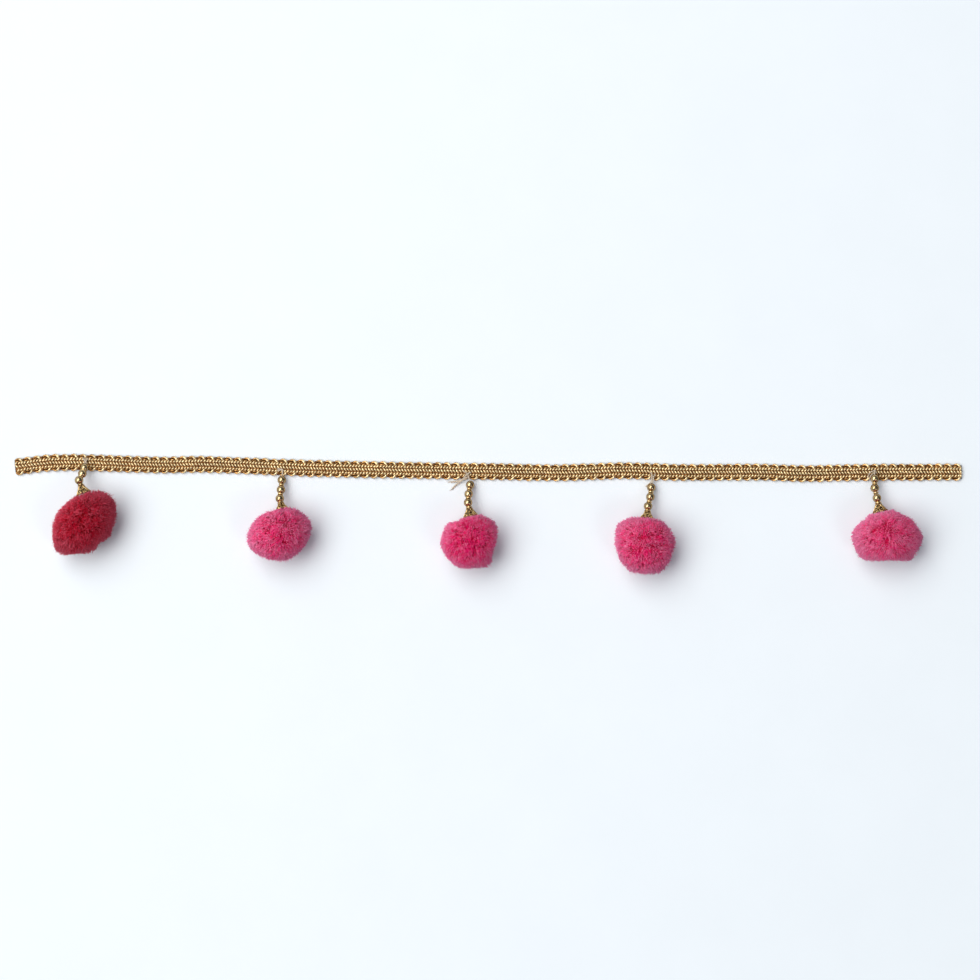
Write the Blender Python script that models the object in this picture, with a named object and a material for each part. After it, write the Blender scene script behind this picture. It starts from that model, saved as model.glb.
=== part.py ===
"""Pompom fringe trim: a gold crocheted braid with five beaded yarn pompoms, laid out flat.

Units are metres. The braid runs along X, the pompoms hang towards -Y, and the surface is z = 0.
The origin is the middle of the braid's flat back.
"""

import math
import random
from collections import namedtuple

import bmesh
import bpy
from mathutils import Matrix, Vector

MM = 0.001
GAP = 0.3 * MM

# Steps in which a smooth line is walked to find its length.
FINE_STEPS = 600

BRAID_HALF_WIDTH = 2.75 * MM
BRAID_EDGE_HEIGHT = 0.6 * MM
BRAID_VALLEY_HEIGHT = 0.9 * MM
BRAID_RIB_HEIGHT = 1.4 * MM
WALE_PITCH = 1.15 * MM
PICOT_PITCH = 3.2 * MM
PICOT_REACH = 0.35 * MM
# Each picot's rounded edge: steps along it, out of PICOT_STEPS, and how far out, as a share of its reach.
PICOT_STEPS = 10
PICOT_EDGE = ((0, -1.0), (2, 0.5), (5, 1.0), (8, 0.5))

BEAD_RADIUS = 1.5 * MM
BORE_RADIUS = 0.62 * MM
BEAD_STEPS = 10
BEAD_BANDS = 5

CAP_LENGTH = 3.4 * MM
CAP_TOP_RADIUS = 1.15 * MM
CAP_RIM_RADIUS = 2.85 * MM
CAP_WALL = 0.4 * MM
CAP_CROWN = 0.55 * MM
# The bell's flare from its top to its rim: share of its length, and radius.
CAP_FLARE = (
    (0.0, CAP_TOP_RADIUS),
    (0.25, 1.32 * MM),
    (0.6, 2.05 * MM),
    (1.0, CAP_RIM_RADIUS),
)
CAP_PETALS = 6
CAP_PETAL_DEPTH = 0.55 * MM
CAP_FROM_BEAD = 1.75 * MM

THREAD_RADIUS = 0.22 * MM
THREAD_STEP = 1.3 * MM
# Half the straight stretch of thread in a bead, as a share of the bead's radius.
STRAIGHT_SHARE = 0.6

LOCKS_ALONG_FACE = 3
CORE_SHARE = 0.6
LOCK_PARTING = 0.01 * MM
# A lock's rings from its root out: width against the ring before, share of the reach, how far it stops
# short of the domed tip, and how far it may lean.
LockRing = namedtuple("LockRing", "width share short lean")
LOCK_RINGS = (
    LockRing(0.8, CORE_SHARE, 0.0, 0.0),
    LockRing(1.06, 0.84, 0.0, 0.0),
    LockRing(0.72, 1.0, 0.45 * MM, 0.03),
)

# The braid's centre line along the surface, in mm.
BRAID_LINE = (
    (-166.8, 1.6),
    (-150.0, 3.2),
    (-116.0, 2.3),
    (-99.0, 2.5),
    (-66.0, 1.2),
    (-32.0, 0.5),
    (0.0, 0.0),
    (25.0, -0.4),
    (47.0, 0.3),
    (66.0, -0.3),
    (94.0, -0.2),
    (111.0, -0.7),
    (135.0, -0.3),
    (166.8, -0.2),
)

# Where each thread starts on the braid, the centres of its three beads, and the point in the pompom that
# its cap faces, in mm.
HANGERS = (
    ((-141.9, 4.9, 1.95), (-142.05, 1.3, 3.25), (-142.4, -0.8, 5.8), (-143.2, -3.1, 8.0), (-138.4, -16.2, 9)),
    ((-72.6, 0.6, 1.95), (-72.9, -3.0, 2.3), (-73.1, -6.4, 3.5), (-73.4, -9.5, 4.8), (-70.3, -22.1, 11.0)),
    ((-7.6, -0.9, 1.95), (-6.8, -4.7, 2.2), (-7.3, -7.9, 3.55), (-7.5, -10.9, 4.95), (-5.0, -24.0, 6.0)),
    ((56.9, -0.6, 1.95), (56.8, -5.6, 2.3), (56.4, -8.9, 3.5), (55.5, -12.2, 4.7), (54.0, -25.5, 9.0)),
    ((135.3, 0.6, 1.95), (135.1, -2.5, 3.0), (135.0, -5.8, 3.8), (135.6, -9.3, 4.9), (138.7, -22.9, 6.0)),
)

# Each pompom's centre and its half sizes in mm: long and wide as seen from above, then high. Turn is the
# direction of its long side. Dent is how deep its outline dips, as a share of its reach, and dent_at where.
Pompom = namedtuple("Pompom", "centre long wide high turn dent dent_at")
POMPOMS = (
    Pompom((-141.4, -18.1, 9.0), 12.7, 8.9, 9.7, turn=43, dent=0.0, dent_at=0),
    Pompom((-73.2, -21.8, 8.8), 10.9, 8.9, 9.4, turn=18, dent=0.04, dent_at=120),
    Pompom((-7.0, -24.4, 8.8), 10.2, 9.1, 9.4, turn=27, dent=0.12, dent_at=118),
    Pompom((54.0, -25.5, 9.0), 10.3, 9.9, 9.6, turn=150, dent=0.05, dent_at=90),
    Pompom((138.7, -22.9, 8.6), 11.9, 9.1, 9.2, turn=2, dent=0.14, dent_at=268),
)
DENT_SPREAD = math.radians(26)
# Where the yarn stands out or in round each pompom's side: direction in degrees, and mm.
LUMPS = (
    ((45, 0.5), (152, 0.5), (203, -1.0), (228, 0.8), (256, -0.5), (286, 0.9), (312, -0.4), (331, 0.9)),
    ((20, 0.5), (195, 0.5), (236, -0.5), (290, 0.5), (345, -0.4)),
    ((356, -1.3), (40, 0.5), (118, -0.6), (140, 0.9), (203, -0.9), (225, -0.9), (308, 1.7), (340, -0.8)),
    ((15, 0.7), (142, 1.2), (195, -0.7), (240, 0.6), (300, 0.7), (345, -0.3)),
    ((20, -1.0), (55, -0.9), (92, 0.8), (143, -1.3), (220, 0.9), (280, -0.3), (318, 1.1)),
)
LUMP_SPREAD = math.radians(15)
# Round its cap the yarn stands up into a collar: how much further it reaches, and how wide it spreads.
COLLAR_RISE = 0.05
COLLAR_SPREAD = math.radians(34)

# The cut place under a pompom's cap: the direction of its middle, and its planes. Each plane is the way
# that it faces and its distance from the pompom's centre.
Seat = namedtuple("Seat", "middle planes")

# Base colour, metallic and roughness.
FINISHES = {
    "gold_braid": ((0.42, 0.25, 0.09), 0.75, 0.42),
    "cream_thread": ((0.78, 0.66, 0.45), 0.0, 0.7),
    "gold_bead": ((0.83, 0.55, 0.22), 1.0, 0.16),
    "gold_cap": ((0.62, 0.38, 0.13), 1.0, 0.3),
    "crimson_yarn": ((0.36, 0.015, 0.045), 0.0, 0.9),
    "pink_yarn": ((0.55, 0.06, 0.16), 0.0, 0.9),
}


def clear_scene():
    for obj in list(bpy.data.objects):
        bpy.data.objects.remove(obj, do_unlink=True)


def principled(name):
    colour, metallic, roughness = FINISHES[name]
    material = bpy.data.materials.new(name)
    material.use_nodes = True
    shader = material.node_tree.nodes["Principled BSDF"]
    shader.inputs["Base Color"].default_value = (*colour, 1.0)
    shader.inputs["Metallic"].default_value = metallic
    shader.inputs["Roughness"].default_value = roughness
    return material


def finish_mesh(bm, name, smooth_angle=40):
    bmesh.ops.recalc_face_normals(bm, faces=bm.faces)
    mesh = bpy.data.meshes.new(name)
    bm.to_mesh(mesh)
    bm.free()
    mesh.shade_smooth()
    mesh.set_sharp_from_angle(angle=math.radians(smooth_angle))
    return mesh


def add_piece(collection, name, mesh, material):
    piece = bpy.data.objects.new(name, mesh)
    if not mesh.materials:
        mesh.materials.append(material)
    collection.objects.link(piece)
    return piece


def smooth_line(points, share):
    """The point at share 0 to 1 of a Catmull-Rom curve through the given points."""
    spans = len(points) - 1
    span = min(int(share * spans), spans - 1)
    t = share * spans - span
    before = points[max(span - 1, 0)]
    start = points[span]
    end = points[span + 1]
    after = points[min(span + 2, spans)]
    leave = (end - before) * 0.5
    arrive = (after - start) * 0.5
    return (
        start * (2 * t**3 - 3 * t**2 + 1)
        + leave * (t**3 - 2 * t**2 + t)
        + end * (3 * t**2 - 2 * t**3)
        + arrive * (t**3 - t**2)
    )


def even_points(points, step):
    """The smooth curve through the points, walked in steps of about one length."""
    fine = [smooth_line(points, i / FINE_STEPS) for i in range(FINE_STEPS + 1)]
    lengths = [0.0]
    for start, end in zip(fine, fine[1:]):
        lengths.append(lengths[-1] + (end - start).length)
    count = max(2, round(lengths[-1] / step))
    walked = []
    at = 0
    for i in range(count + 1):
        target = lengths[-1] * i / count
        while at < len(lengths) - 2 and lengths[at + 1] < target:
            at += 1
        t = (target - lengths[at]) / (lengths[at + 1] - lengths[at])
        walked.append(fine[at].lerp(fine[at + 1], t))
    return walked


def braid_mesh():
    """The flat-backed tape: three raised wales along it, and an edge of small rounded picots."""
    points = [Vector((x, y, 0.0)) * MM for x, y in BRAID_LINE]
    centres = even_points(points, PICOT_PITCH / PICOT_STEPS)
    picots = (len(centres) - 1) // PICOT_STEPS
    bm = bmesh.new()

    def vertex(at, across, height):
        ahead = centres[min(at + 1, len(centres) - 1)] - centres[max(at - 1, 0)]
        side = Vector((-ahead.y, ahead.x, 0.0)).normalized()
        return bm.verts.new(centres[at] + side * across + Vector((0.0, 0.0, height)))

    wales = []
    tops = {-1: [], 1: []}
    backs = {-1: [], 1: []}
    for picot in range(picots + 1):
        first = picot * PICOT_STEPS
        wale = []
        for half_wale in range(-3, 4):
            height = BRAID_VALLEY_HEIGHT if half_wale % 2 else BRAID_RIB_HEIGHT
            wale.append(vertex(first, half_wale * WALE_PITCH / 2, height))
        wales.append(wale)
        for step, share in PICOT_EDGE if picot < picots else PICOT_EDGE[:1]:
            for side in (-1, 1):
                across = side * (BRAID_HALF_WIDTH + share * PICOT_REACH)
                tops[side].append(vertex(first + step, across, BRAID_EDGE_HEIGHT))
                backs[side].append(vertex(first + step, across, 0.0))
    for picot in range(picots):
        near, far = wales[picot], wales[picot + 1]
        for i in range(len(near) - 1):
            bm.faces.new((near[i], near[i + 1], far[i + 1], far[i]))
        first = picot * len(PICOT_EDGE)
        last = first + len(PICOT_EDGE)
        for side, inner in ((-1, 0), (1, -1)):
            bm.faces.new([near[inner], *tops[side][first : last + 1], far[inner]])
            for i in range(first, last):
                bm.faces.new((tops[side][i], backs[side][i], backs[side][i + 1], tops[side][i + 1]))
        bm.faces.new([*backs[-1][first : last + 1], *reversed(backs[1][first : last + 1])])
    for end, section in ((0, wales[0]), (-1, wales[-1])):
        bm.faces.new([backs[-1][end], tops[-1][end], *section, tops[1][end], backs[1][end]])
    return finish_mesh(bm, "braid")


def turned_mesh(bm, profile, steps):
    """Spins a closed (radius, along) outline once round Z."""
    verts = [bm.verts.new((radius, 0.0, along)) for radius, along in profile]
    edges = [bm.edges.new((a, b)) for a, b in zip(verts, verts[1:] + verts[:1])]
    bmesh.ops.spin(
        bm, geom=verts + edges, cent=(0, 0, 0), axis=(0, 0, 1), angle=math.tau, steps=steps, use_merge=True
    )


def bead_mesh():
    """A round bead with an open bore."""
    bm = bmesh.new()
    hole_angle = math.acos(BORE_RADIUS / BEAD_RADIUS)
    angles = [hole_angle * (1 - 2 * i / BEAD_BANDS) for i in range(BEAD_BANDS + 1)]
    profile = [(BEAD_RADIUS * math.cos(a), BEAD_RADIUS * math.sin(a)) for a in angles]
    turned_mesh(bm, profile, BEAD_STEPS)
    return finish_mesh(bm, "bead", 60)


def cap_mesh():
    """An open bell with petals round its rim: its top is at z = 0 and its rim towards -Z."""
    bm = bmesh.new()
    outer = [(radius, -CAP_LENGTH * share) for share, radius in CAP_FLARE]
    inner = [(radius - CAP_WALL, along) for radius, along in reversed(outer[-2:])]
    inner += [(BORE_RADIUS, -CAP_CROWN), (BORE_RADIUS, 0.0)]
    turned_mesh(bm, outer + inner, 2 * CAP_PETALS)
    for vert in bm.verts:
        if vert.co.z < -CAP_LENGTH + GAP:
            petal = 0.5 - 0.5 * math.cos(CAP_PETALS * math.atan2(vert.co.y, vert.co.x))
            vert.co.z += CAP_PETAL_DEPTH * petal
    return finish_mesh(bm, "cap", 60)


def outline_radius(direction, shape, lumps, seat):
    """How far the yarn reaches from the pompom's centre: an uneven ball, level below and under its cap."""
    turn = math.radians(shape.turn)
    along = direction.x * math.cos(turn) + direction.y * math.sin(turn)
    side = direction.y * math.cos(turn) - direction.x * math.sin(turn)
    radius = MM / math.sqrt(
        (along / shape.long) ** 2 + (side / shape.wide) ** 2 + (direction.z / shape.high) ** 2
    )
    dent_at = math.radians(shape.dent_at)
    dent_away = direction.angle(Vector((math.cos(dent_at), math.sin(dent_at), 0.0)))
    radius *= 1 - shape.dent * math.exp(-((dent_away / DENT_SPREAD) ** 2))
    for lump_at, lump in lumps:
        lump_at = math.radians(lump_at)
        lump_away = direction.angle(Vector((math.cos(lump_at), math.sin(lump_at), 0.0)))
        radius += lump * MM * math.exp(-((lump_away / LUMP_SPREAD) ** 2))
    radius *= 1 + COLLAR_RISE * math.exp(-((direction.angle(seat.middle) / COLLAR_SPREAD) ** 2))
    if direction.z < 0:
        radius = min(radius, shape.centre[2] * MM / -direction.z)
    for axis, distance in seat.planes:
        if direction.dot(axis) > 0:
            radius = min(radius, distance / direction.dot(axis))
    return radius


def pompom_mesh(name, shape, lumps, seat, seed):
    """A core with separate four-sided locks of yarn, which swell, then narrow to a domed tip."""
    chance = random.Random(seed)
    spin = Matrix.Rotation(chance.uniform(0, math.tau), 3, "Z").to_quaternion()
    turn = seat.middle.to_track_quat("Z", "X") @ spin
    bm = bmesh.new()
    bmesh.ops.create_cube(bm, size=2.0)
    bmesh.ops.subdivide_edges(bm, edges=bm.edges[:], cuts=LOCKS_ALONG_FACE - 1, use_grid_fill=True)

    def reach(direction, short):
        radius = outline_radius(direction, shape, lumps, seat)
        on_floor = shape.centre[2] * MM + direction.z * radius < GAP
        return radius if on_floor else radius - short

    for vert in bm.verts:
        even = Vector([math.tan(c * math.pi / 4) for c in vert.co])
        direction = turn @ even.normalized()
        vert.co = direction * reach(direction, 0.0) * CORE_SHARE
    locks = list(bm.faces)
    bmesh.ops.inset_individual(bm, faces=locks, thickness=LOCK_PARTING)
    for ring in LOCK_RINGS:
        if ring != LOCK_RINGS[0]:
            locks = bmesh.ops.extrude_discrete_faces(bm, faces=locks)["faces"]
        for lock in locks:
            corners = [vert.co.normalized() for vert in lock.verts]
            middle = sum(corners, Vector()).normalized()
            lean = Vector([chance.uniform(-ring.lean, ring.lean) for _ in range(3)])
            short = chance.uniform(ring.short, 2 * ring.short)
            for vert, corner in zip(lock.verts, corners):
                direction = (middle + (corner - middle) * ring.width + lean).normalized()
                vert.co = direction * reach(direction, short) * ring.share
    for tip in bmesh.ops.poke(bm, faces=locks)["verts"]:
        direction = tip.co.normalized()
        tip.co = direction * reach(direction, 0.0)
    return finish_mesh(bm, name, 50)


def thread_piece(collection, name, points, material):
    """A round thread along a smooth line through the points, as a closed mesh."""
    curve = bpy.data.curves.new(name, "CURVE")
    curve.dimensions = "3D"
    curve.bevel_depth = THREAD_RADIUS
    curve.bevel_resolution = 1
    curve.use_fill_caps = True
    walked = even_points(points, THREAD_STEP)
    spline = curve.splines.new("POLY")
    spline.points.add(len(walked) - 1)
    for point, co in zip(spline.points, walked):
        point.co = (*co, 1.0)
    guide = bpy.data.objects.new(name + "_guide", curve)
    collection.objects.link(guide)
    bpy.context.view_layer.update()
    mesh = bpy.data.meshes.new_from_object(guide.evaluated_get(bpy.context.evaluated_depsgraph_get()))
    bpy.data.objects.remove(guide, do_unlink=True)
    bm = bmesh.new()
    bm.from_mesh(mesh)
    bpy.data.meshes.remove(mesh)
    bmesh.ops.remove_doubles(bm, verts=bm.verts, dist=0.01 * MM)
    return add_piece(collection, name, finish_mesh(bm, name, 60), material)


def aim(piece, at, axis):
    """Puts the piece's origin at a point and its Z along an axis."""
    piece.location = at
    piece.rotation_mode = "QUATERNION"
    piece.rotation_quaternion = axis.to_track_quat("Z", "X")


def hang_pompom(collection, number, hanger, shape, lumps, materials):
    """One thread with its three beads, its bell cap and its pompom."""
    start, *beads, faced = [Vector(point) * MM for point in hanger]
    centre = Vector(shape.centre) * MM
    into_pompom = (faced - beads[-1]).normalized()
    cap_top = beads[-1] + into_pompom * CAP_FROM_BEAD
    rim = cap_top + into_pompom * CAP_LENGTH
    level = Vector((-into_pompom.x, -into_pompom.y, 0.0)).normalized()
    upper_rim = rim.dot(level) + CAP_RIM_RADIUS * into_pompom.z
    under_rim = (-into_pompom, (centre - rim).dot(into_pompom) - GAP)
    before_rim = (level, upper_rim - centre.dot(level) - GAP)
    seat = Seat((rim - centre).normalized(), (under_rim, before_rim))
    line = [start, *beads, rim]
    route = [start]
    for place, bead in enumerate(beads, start=1):
        axis = (line[place + 1] - bead).normalized() + (bead - line[place - 1]).normalized()
        name = f"bead_{number}_{place}"
        piece = add_piece(collection, name, bpy.data.meshes["bead"], materials["gold_bead"])
        aim(piece, bead, axis)
        inside = axis.normalized() * BEAD_RADIUS * STRAIGHT_SHARE
        route += [bead - inside, bead + inside]
    thread_piece(collection, f"thread_{number}", route + [cap_top, rim], materials["cream_thread"])
    cap = add_piece(collection, f"cap_{number}", bpy.data.meshes["cap"], materials["gold_cap"])
    aim(cap, cap_top, -into_pompom)
    mesh = pompom_mesh(f"pompom_{number}", shape, lumps, seat, seed=number)
    yarn = materials["crimson_yarn" if number == 1 else "pink_yarn"]
    pompom = add_piece(collection, f"pompom_{number}", mesh, yarn)
    pompom.location = centre


def main():
    clear_scene()
    collection = bpy.data.collections.new("pompom_fringe_trim")
    bpy.context.scene.collection.children.link(collection)
    materials = {name: principled(name) for name in FINISHES}
    add_piece(collection, "braid", braid_mesh(), materials["gold_braid"])
    bead_mesh()
    cap_mesh()
    for number, (hanger, shape, lumps) in enumerate(zip(HANGERS, POMPOMS, LUMPS), start=1):
        hang_pompom(collection, number, hanger, shape, lumps, materials)


main()
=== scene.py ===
"""Looks of a pompom fringe trim: crocheted gold braid, threaded beads, filigree caps and yarn pompoms."""

import math

import bmesh
import bpy
import numpy as np
from mathutils import Matrix, Vector, noise


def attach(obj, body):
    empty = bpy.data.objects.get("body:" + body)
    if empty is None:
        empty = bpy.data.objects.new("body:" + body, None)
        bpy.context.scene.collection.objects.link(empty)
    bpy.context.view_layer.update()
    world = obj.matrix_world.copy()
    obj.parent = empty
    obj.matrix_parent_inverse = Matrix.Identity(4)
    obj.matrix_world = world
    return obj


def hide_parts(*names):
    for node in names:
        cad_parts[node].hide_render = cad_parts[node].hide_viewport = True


MM = 0.001
TAU = 2 * math.pi
WORLD_UP = np.array((0.0, 0.0, 1.0))
# Keeps only the part of a shift that lies level.
LEVEL = (1, 1, 0)
# Numbers of a Mix node's sockets, which share their names between its data types.
MIX_SHARE = 0
MIX_COLOURS = (6, 7)
MIX_COLOUR_RESULT = 2
MIX_VECTORS = (4, 5)
MIX_VECTOR_RESULT = 1

# The camera looks straight down on the whole length.
VIEW_WIDTH = 343.0 * MM
VIEW_CENTRE = (0.18 * MM, -6.48 * MM)
VIEW_HEIGHT = 5.0 * MM
LENS = 100.0
SENSOR = 36.0

# Braid, in millimetres along, across and up.
BRAID_LINE = (
    (-166.8, 1.6), (-150.0, 3.2), (-116.0, 2.3), (-99.0, 2.5), (-66.0, 1.2), (-32.0, 0.5), (0.0, 0.0),
    (25.0, -0.4), (47.0, 0.3), (66.0, -0.3), (94.0, -0.2), (111.0, -0.7), (135.0, -0.3), (166.8, -0.2),
)
BRAID_START = -166.8
PICOT_PITCH = 3.2
PICOTS = 104
BRAID_END = BRAID_START + PICOTS * PICOT_PITCH
LEGS_TO_A_PICOT = 3
LEG_PITCH = PICOT_PITCH / LEGS_TO_A_PICOT
INNER_TO_A_PICOT = 2
LEG_RADIUS = 0.33
# Each wale starts this much further along than the last.
WALE_SHIFT = 0.3
# The groove between a strand's two plies, as a share of its radius, and how far they run in one turn.
PLY_DEPTH = 0.16
PLY_PITCH = 1.5
# Rings and sides of the mesh of one strand.
LEG_MESH = (7, 8)
DASH_MESH = (5, 6)
PICOT_MESH = (12, 7)
# How far a strand strays along, across and up, and how much the strands' radii differ.
STRAND_STRAY = 0.035
STRAND_STRAY_WAYS = (1, 1, 0.6)
STRAND_UNEVEN = 0.06
# Painted shade and light: a strand is painted deep brown up to this height, where it dips under its
# neighbours, and painted fully bright this much further up, on its crown.
BRIGHT_FROM = 0.55
BRIGHT_RISE = 0.55
# Painted highlight: how much brighter than their height the picots are painted.
PICOT_PAINTED_LIGHT = 0.4
BRAID_SEED = 7
# One leg of each wale: its points from the leg's middle, and where the wale lies across the braid.
WALES = (
    (1.18, ((-0.46, -0.5, 0.72), (-0.3, -0.3, 1.0), (0.0, 0.0, 1.13), (0.3, 0.3, 1.02), (0.46, 0.52, 0.74))),
    (-0.02, ((-0.5, 0.62, 0.7), (-0.3, 0.36, 1.04), (0.0, 0.0, 1.18), (0.3, -0.36, 1.04), (0.5, -0.62, 0.7))),
    (
        -1.24,
        ((-0.44, -0.46, 0.7), (-0.27, -0.26, 0.98), (0.0, 0.0, 1.1), (0.27, 0.26, 1.0), (0.44, 0.46, 0.72)),
    ),
)
LEG_SWELL = (0.6, 0.98, 1.08, 0.98, 0.6)
# One picot, from the start of its stretch of edge. Across counts outwards from the middle of the braid.
PICOT_LOOP = (
    (0.1, 1.75, 0.5), (0.22, 2.15, 0.5), (0.55, 2.46, 0.5), (1.0, 2.66, 0.55), (1.5, 2.68, 0.68),
    (1.92, 2.54, 0.88), (2.26, 2.24, 1.02), (2.55, 1.86, 1.02), (2.78, 1.5, 0.78),
)
PICOT_SWELL = (0.7, 0.85, 0.92, 0.95, 1.0, 1.08, 1.18, 1.1, 0.7)
# Strands that run beside the picots, in the same measures.
EDGE_DASH = ((2.1, 1.95, 0.4), (2.6, 2.12, 0.55), (3.05, 2.26, 0.6), (3.5, 2.3, 0.55), (3.95, 2.2, 0.4))
INNER_DASH = ((-0.1, 1.66, 0.55), (0.35, 1.74, 0.76), (0.8, 1.82, 0.82), (1.25, 1.86, 0.76), (1.6, 1.9, 0.55))
EDGE_RADIUS = 0.35
INNER_RADIUS = 0.27
INNER_SHIFT = 0.1
# The flat tape under the strands: its section, across and up.
TAPE_PROFILE = (
    (-2.3, 0.0), (2.3, 0.0), (2.42, 0.18), (2.3, 0.42), (1.8, 0.56), (1.2, 0.74), (0.6, 0.62), (0.0, 0.76),
    (-0.6, 0.62), (-1.2, 0.74), (-1.8, 0.56), (-2.3, 0.42), (-2.42, 0.18),
)
TAPE_STEP = 0.8
# How much the tape's width and its height differ from place to place.
TAPE_UNEVEN = (0.012, 0.06)
# The tape shows only in the gaps between the strands and is painted dark as their shade: how bright it is, in
# the measure that the strands use, and its even tone.
TAPE_RISE = 0.2
TAPE_TONE = 0.5

# Hangers, in millimetres: the thread's start on the braid, its three bead centres, and the point in the
# pompom that its cap faces.
HANGERS = (
    ((-141.9, 4.9, 1.95), (-142.05, 1.3, 3.25), (-142.4, -0.8, 5.8), (-143.2, -3.1, 8.0), (-138.4, -16.2, 9)),
    ((-72.6, 0.6, 1.95), (-72.9, -3.0, 2.3), (-73.1, -6.4, 3.5), (-73.4, -9.5, 4.8), (-70.3, -22.1, 11.0)),
    ((-7.6, -0.9, 1.95), (-6.8, -4.7, 2.2), (-7.3, -7.9, 3.55), (-7.5, -10.9, 4.95), (-5.0, -24.0, 6.0)),
    ((56.9, -0.6, 1.95), (56.8, -5.6, 2.3), (56.4, -8.9, 3.5), (55.5, -12.2, 4.7), (54.0, -25.5, 9.0)),
    ((135.3, 0.6, 1.95), (135.1, -2.5, 3.0), (135.0, -5.8, 3.8), (135.6, -9.3, 4.9), (138.7, -22.9, 6.0)),
)
BEAD_RADIUS = 1.5
BORE_RADIUS = 0.62
BEAD_BANDS = 21
BEAD_STEPS = 36
BEAD_SHARP = math.radians(50)
# Inside its mouth the bore narrows by the first number over the second. Its waist is narrower by the third.
MOUTH_INSET = 0.06
MOUTH_DEPTH = 0.1
WAIST_INSET = 0.08
BEAD_SEED = 40
# The small rings in the waists: radius of the ring, radius of its wire, and its mesh.
SPACER_RING = 0.66
SPACER_RADIUS = 0.3
SPACER_STEPS = 24
SPACER_SIDES = 10
SPACER_BEFORE_CAP = 0.2
CAP_FROM_BEAD = 1.75
CAP_LENGTH = 3.4
CAP_FLARE = ((0.0, 1.15), (0.25, 1.32), (0.6, 2.05), (1.0, 2.85))
CAP_STEPS = 30
CAP_SHARP = math.radians(60)
CAP_SEED = 60
# The inner bell, painted near black as the shade inside the cap: how far it reaches down the cap, its bands,
# its inset, its wall and its crown.
BELL_REACH = 0.84
BELL_BANDS = 9
BELL_INSET = 0.42
BELL_WALL = 0.1
BELL_CROWN = 0.05
# The looped petals: how many, half their angle, the share of the cap where their middle lies, half their
# length as such a share, their wire's radius and sides, and how deep it is sunk.
PETALS = 6
PETAL_ANGLE = math.radians(28.5)
PETAL_MIDDLE = 0.53
PETAL_HALF = 0.42
PETAL_WIRE = 0.15
PETAL_SIDES = 6
PETAL_SINK = 0.15
# Scrolls inside a petal: share of the cap, degrees to either side of the petal's middle, and size.
SCROLLS = ((0.7, 11.5, 1.0), (0.42, 9.5, 0.55))
SCROLL_TURNS = 1.35
SCROLL_POINTS = 17
SCROLL_RADIUS = 0.46
SCROLL_TAPER = 0.72
SCROLL_WIRE = 0.09
SCROLL_SIDES = 5
SCROLL_SINK = 0.16
# Rings of grains on a cap: how many, how far turned, how far down the bell, and their radius.
CAP_GRAINS = ((6, 0.0, 0.91, 0.27), (6, 0.5, 0.86, 0.22), (6, 0.5, 0.5, 0.15))
GRAIN_SINK = 0.12
GRAIN_DETAIL = 2
# Rings at the cap's top: radius, radius of the wire, and how far down they lie.
CAP_RINGS = ((0.98, 0.18, 0.0), (1.12, 0.13, 0.5))
CAP_RING_SIDES = 8
# The gap between a cap's rim and its yarn.
GAP = 0.3

# Pompoms: centre and half sizes in millimetres, turn, dent depth and the side that the dent is on.
POMPOMS = (
    ((-141.4, -18.1, 9.0), (12.7, 8.9, 9.7), 43, 0.0, 0),
    ((-73.2, -21.8, 8.8), (10.9, 8.9, 9.4), 18, 0.04, 120),
    ((-7.0, -24.4, 8.8), (10.2, 9.1, 9.4), 27, 0.12, 118),
    ((54.0, -25.5, 9.0), (10.3, 9.9, 9.6), 150, 0.05, 90),
    ((138.7, -22.9, 8.6), (11.9, 9.1, 9.2), 2, 0.14, 268),
)
DENT_SPREAD = math.radians(26)
# Uneven cutting round each pompom's side: direction in degrees, millimetres out or in.
LUMPS = (
    ((45, 0.5), (152, 0.5), (203, -1.0), (228, 0.8), (256, -0.5), (286, 0.9), (312, -0.4), (331, 0.9)),
    ((20, 0.5), (195, 0.5), (236, -0.5), (290, 0.5), (345, -0.4)),
    ((356, -1.3), (40, 0.5), (118, -0.6), (140, 0.9), (203, -0.9), (225, -0.9), (308, 1.7), (340, -0.8)),
    ((15, 0.7), (142, 1.2), (195, -0.7), (240, 0.6), (300, 0.7), (345, -0.3)),
    ((20, -1.0), (55, -0.9), (92, 0.8), (143, -1.3), (220, 0.9), (280, -0.3), (318, 1.1)),
)
LUMP_SPREAD = math.radians(15)
# Round its cap the yarn stands up into a collar: how much further it reaches, and how wide it spreads.
COLLAR_RISE = 0.05
COLLAR_SPREAD = math.radians(34)
POMPOM_SEED = 100
# The knobbly core that closes the gaps, painted dark as the shade deep inside the ball: its detail, its share
# of the radius, the knobs' height, scale and fractal settings, and its depth value, as an even part and a
# part that follows the knobs.
CORE_DETAIL = 5
CORE_SHARE = 0.85
KNOB_HEIGHT = 0.035
KNOB_SCALE = 11.0
KNOB_FRACTAL = (0.7, 2.0, 3)
CORE_DEPTH = (0.25, 0.4)
# Painted shade: the core's low tone darkens it, as it lies deep in the ball.
CORE_TONE = 0.2
# The yarn is tied this far from the ball's centre towards the cap.
TIE_SHIFT = 2.6
FIBRES = 11400
TUFTS = 1300
# Radius of a yarn end at each of its stations, which are shares of the way out, and its depth value there, by
# which it is painted darker towards the root as shade.
FIBRE_RADIUS = (0.09, 0.12, 0.0)
FIBRE_STATIONS = (0.76, 0.99, 1.0)
FIBRE_DEPTHS = (0.3, 0.86, 1.0)
FIBRE_SIDES = 3
FIBRE_UNEVEN = (0.75, 1.25)
DEPTH_UNEVEN = (0.88, 1.08)
# Shares of the even spacing by which directions are jittered.
FIBRE_JITTER = 0.5
TUFT_JITTER = 0.6
# How the tips lean: towards the middle of their tuft, with it, with the combing, and each on its own.
TUFT_PULL = (0.0, 0.5)
TUFT_LEAN = 0.085
COMB_LEAN = 0.22
COMB_SCALE = 3.4
COMB_SHIFT = 7.0
TIP_STRAY = 0.065
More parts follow.
